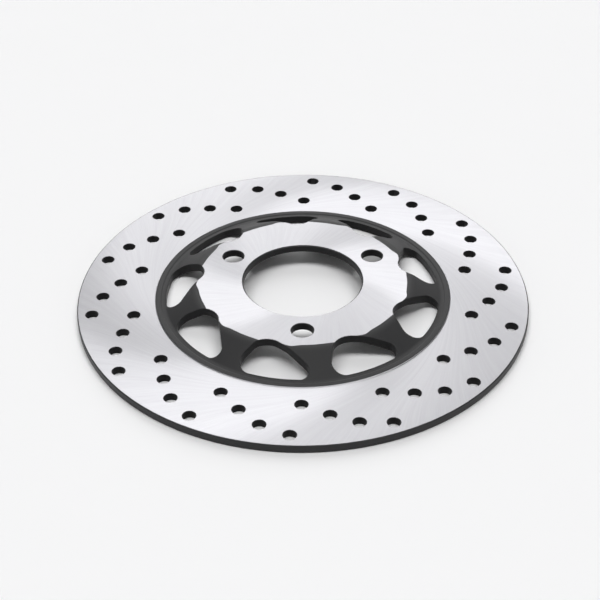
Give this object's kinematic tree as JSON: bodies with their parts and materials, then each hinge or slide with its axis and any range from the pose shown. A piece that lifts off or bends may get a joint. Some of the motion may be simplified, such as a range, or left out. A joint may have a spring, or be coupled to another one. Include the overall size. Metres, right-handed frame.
{
  "type": "brake disc rotor",
  "caption": "Flat round brake disc: drilled ground friction ring, dished black carrier with slanted windows, and ground mounting flange with centre bore and bolt holes.",
  "frame": {"origin": "on the disc's axis, in the plane of the lower friction face, which is the face that lies on a table", "axes": "+Z along the disc's axis, from the friction ring towards the raised mounting flange; a bolt hole lies on the -Y axis"},
  "size_m": [0.22, 0.22, 0.0116],
  "materials": {
    "ground_steel": "ground, with fine marks that slant across the face",
    "black_coating": "satin black coating on steel"
  },
  "bodies": {
    "root": {"friction_ring": "ground_steel", "carrier": "black_coating", "mounting_flange": "ground_steel"}
  },
  "joints": []
}
